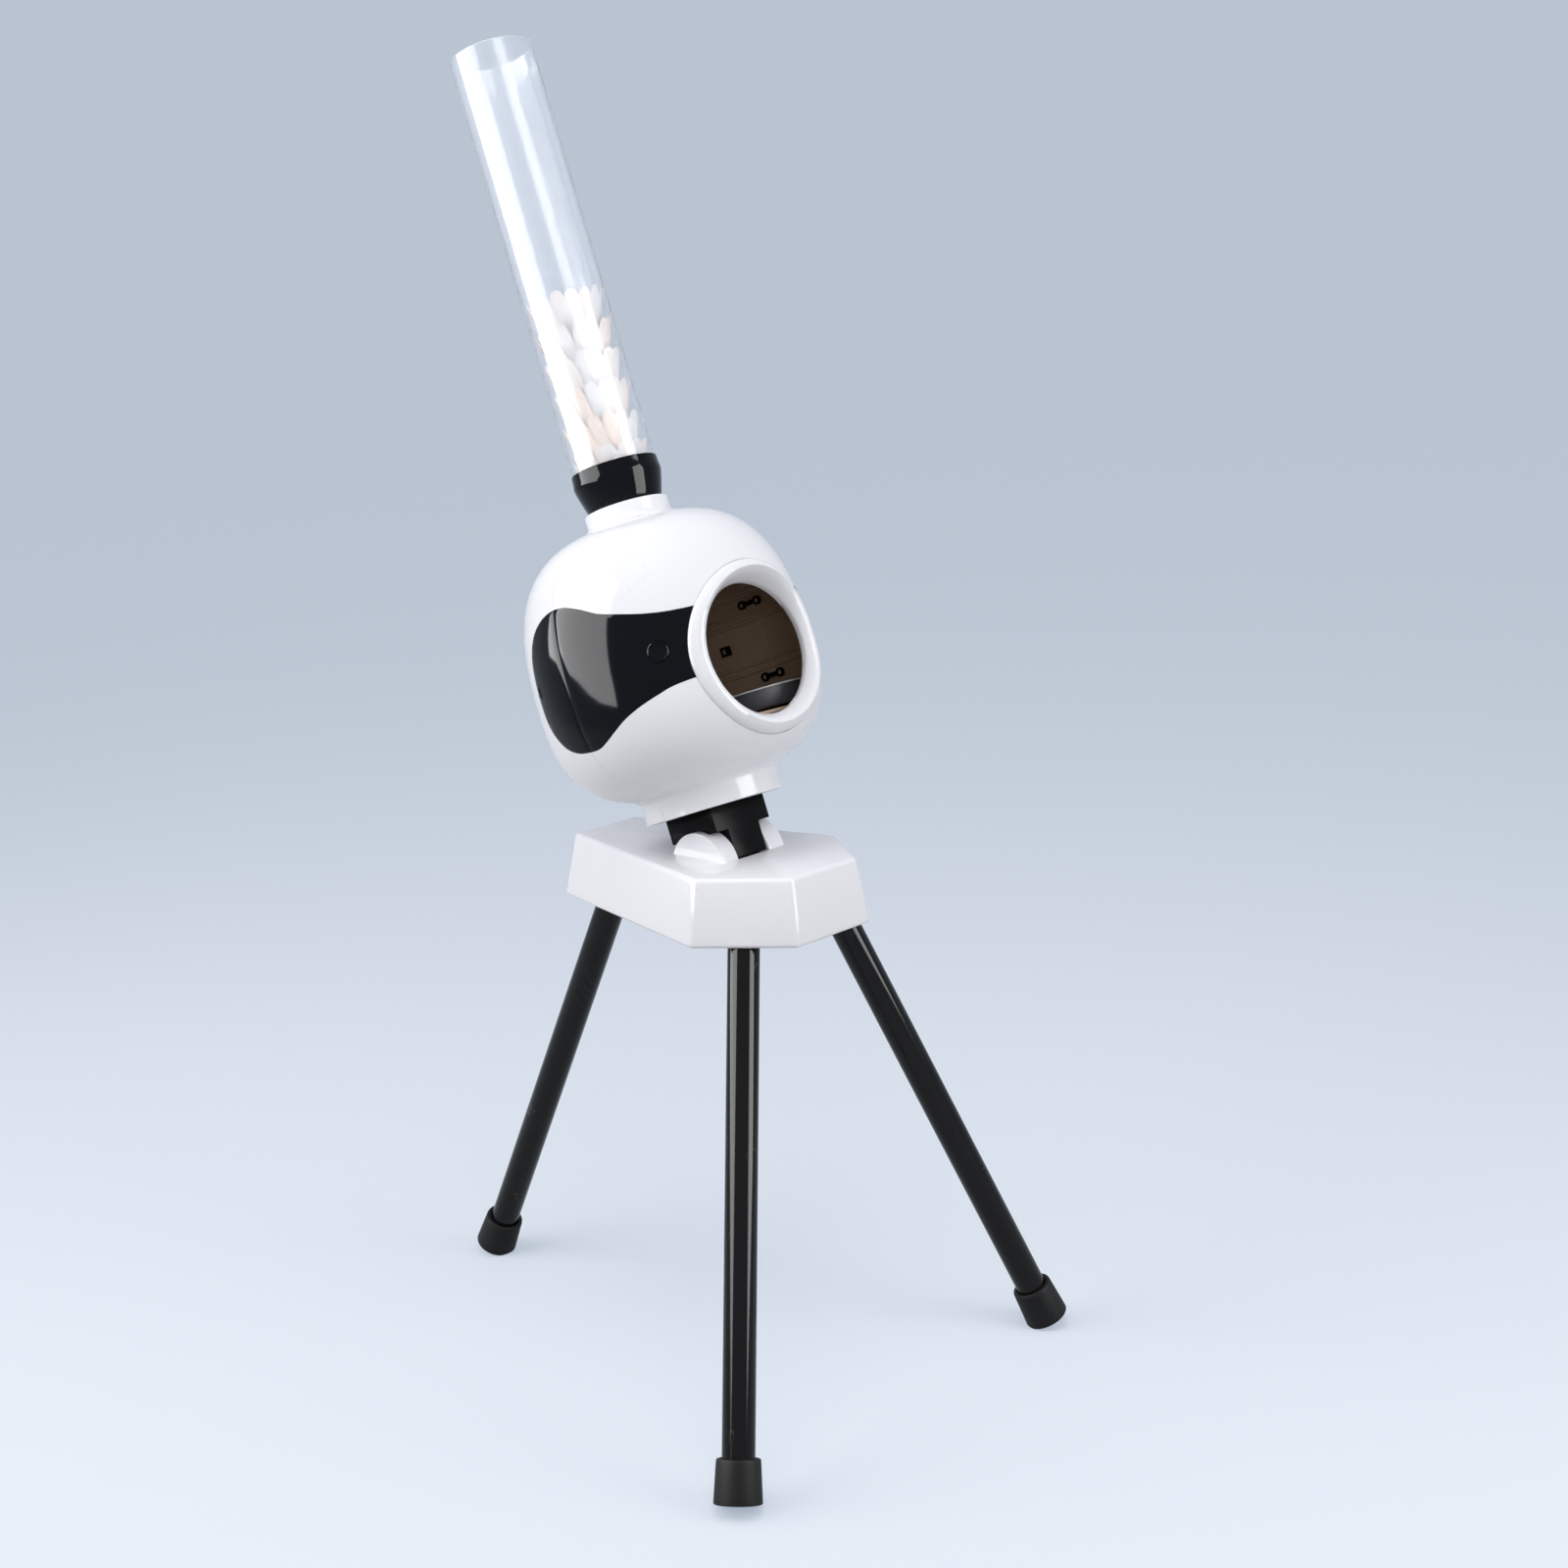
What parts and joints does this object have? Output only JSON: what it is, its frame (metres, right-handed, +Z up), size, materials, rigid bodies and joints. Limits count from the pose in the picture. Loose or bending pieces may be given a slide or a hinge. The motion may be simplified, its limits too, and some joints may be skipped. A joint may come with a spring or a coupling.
{
  "type": "shuttlecock machine",
  "caption": "Badminton serving machine: round tilting head with a clear magazine tube, flywheels behind a round port, six-sided base on splayed legs.",
  "frame": {"origin": "on the floor, under the middle of the whole machine", "axes": "+Z up, -Y the way the machine throws, +X to the right as seen from in front, facing the port"},
  "size_m": [0.4606, 0.5802, 1.1814],
  "materials": {
    "white": "gloss",
    "black_gloss": "gloss",
    "black_satin": "satin",
    "leg_black": "gloss",
    "rubber": "matt",
    "clear": "clear gloss",
    "feather": "matt",
    "steel": "satin",
    "grey_tyre": "matt",
    "brown": "satin",
    "board": "satin",
    "battery": "satin"
  },
  "bodies": {
    "base": {"base_housing": "white", "base_plate": "black_satin", "base_screw_1": "steel", "base_screw_2": "steel", "base_screw_3": "steel", "base_screw_4": "steel", "battery_pack": "battery", "control_board": "board", "hinge_pin": "steel", "leg_left": "leg_black", "leg_right": "leg_black", "leg_rear": "leg_black", "leg_socket_left": "black_satin", "leg_socket_right": "black_satin", "leg_socket_rear": "black_satin", "foot_left": "rubber", "foot_right": "rubber", "foot_rear": "rubber"},
    "door": {"battery_door": "black_satin"},
    "tube": {"magazine_tube": "clear"},
    "flywheel_left": {"flywheel_hub_left": "black_satin", "flywheel_tyre_left": "grey_tyre"},
    "flywheel_right": {"flywheel_hub_right": "black_satin", "flywheel_tyre_right": "grey_tyre"},
    "gate": {"feed_gate": "black_satin"},
    "pusher": {"pusher": "black_satin"},
    "button": {"power_button": "black_gloss"},
    "head": {"button_switch": "black_satin", "feed_servo": "black_satin", "head_floor": "black_satin", "head_front_shell": "white", "head_rear_shell": "white", "launch_deck": "brown", "motor_left": "steel", "motor_right": "steel", "neck_ring": "white", "port_ring": "white", "pusher_solenoid": "steel", "shell_clip_left_lower": "black_satin", "shell_clip_left_upper": "black_satin", "shell_clip_right_lower": "black_satin", "shell_clip_right_upper": "black_satin", "shuttlecock_1": "feather", "shuttlecock_2": "feather", "shuttlecock_3": "feather", "shuttlecock_4": "feather", "shuttlecock_5": "feather", "shuttlecock_6": "feather", "shuttlecock_7": "feather", "tilt_bracket": "black_satin", "tube_collar": "black_gloss", "visor_left_front": "black_gloss", "visor_left_rear": "black_gloss", "visor_right_front": "black_gloss", "visor_right_rear": "black_gloss"}
  },
  "joints": [
    {"name": "head_tilt", "type": "hinge", "parent": "base", "child": "head", "pos_m": [0, -0.08798, 0.4703], "axis": [1, 0, 0], "range_deg": [-7, 20]},
    {"name": "tube_lift", "type": "slide", "parent": "head", "child": "tube", "axis": [0, 0.3371, 0.9415], "range_m": [0, 0.014]},
    {"name": "flywheel_left", "type": "hinge", "parent": "head", "child": "flywheel_left", "pos_m": [-0.058, -0.06159, 0.63834], "axis": [0, 0.3371, 0.9415], "continuous": true},
    {"name": "flywheel_right", "type": "hinge", "parent": "head", "child": "flywheel_right", "pos_m": [0.058, -0.06159, 0.63834], "axis": [0, 0.3371, 0.9415], "continuous": true},
    {"name": "gate_turn", "type": "hinge", "parent": "head", "child": "gate", "pos_m": [0, 0.00807, 0.6134], "axis": [0, 0.3371, 0.9415], "range_deg": [0, 40]},
    {"name": "push", "type": "slide", "parent": "head", "child": "pusher", "axis": [0, -0.9415, 0.3371], "range_m": [0, 0.022], "stiffness_N_per_m": 6, "springref_m": -0.02},
    {"name": "press", "type": "slide", "parent": "head", "child": "button", "axis": [0.7408, 0.6324, -0.2264], "range_m": [0, 0.0015], "stiffness_N_per_m": 400, "springref_m": -0.001},
    {"name": "door", "type": "hinge", "parent": "base", "child": "door", "pos_m": [0, 0.01652, 0.4241], "axis": [1, 0, 0], "range_deg": [0, 95]}
  ],
  "couplings": [
    {"joint": "flywheel_right", "follows": "flywheel_left", "ratio": -1}
  ]
}
